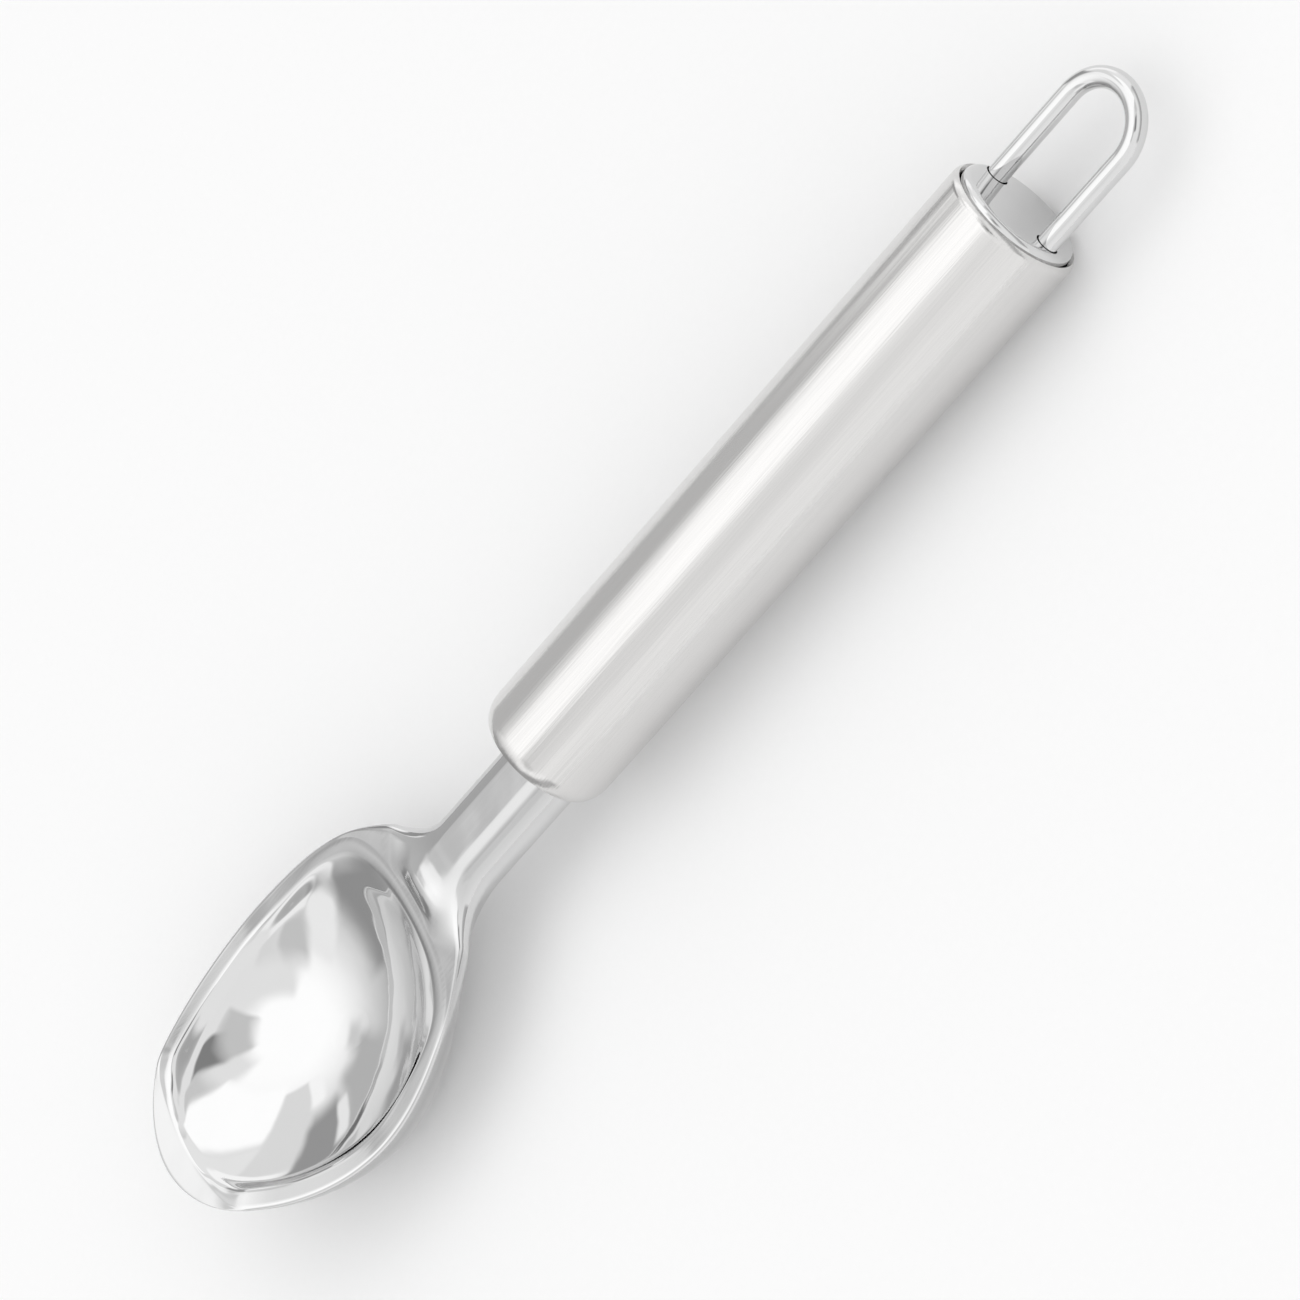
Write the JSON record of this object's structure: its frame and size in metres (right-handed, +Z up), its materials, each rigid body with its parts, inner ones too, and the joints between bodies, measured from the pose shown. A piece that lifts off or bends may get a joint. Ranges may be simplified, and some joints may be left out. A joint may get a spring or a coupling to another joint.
{
  "type": "ice cream scoop",
  "caption": "Ice cream scoop with an egg-shaped cast bowl, level tip facet and fishtail neck on a round brushed tube handle that ends in a polished cap and a wire hanging loop.",
  "frame": {"origin": "middle of the bounding box, on the table that the scoop lies on", "axes": "+X along the scoop from the hanging loop towards the bowl's tip, +Z up, out of the bowl's hollow"},
  "size_m": [0.2206, 0.0446, 0.0246],
  "materials": {
    "polished_casting": "cast alloy, buffed to a mirror",
    "brushed_tube": "stainless tube, brushed along its length",
    "polished_cap": "pressed stainless, polished",
    "polished_wire": "drawn stainless wire, polished",
    "black_nylon": "moulded nylon",
    "plain_steel": "plain turned steel"
  },
  "bodies": {
    "root": {"scoop_head": "polished_casting", "handle_tube": "brushed_tube", "end_cap": "polished_cap", "hanging_loop": "polished_wire", "insert_upper": "black_nylon", "insert_lower": "black_nylon", "tang_pin": "plain_steel", "loop_plug": "black_nylon"}
  },
  "joints": []
}
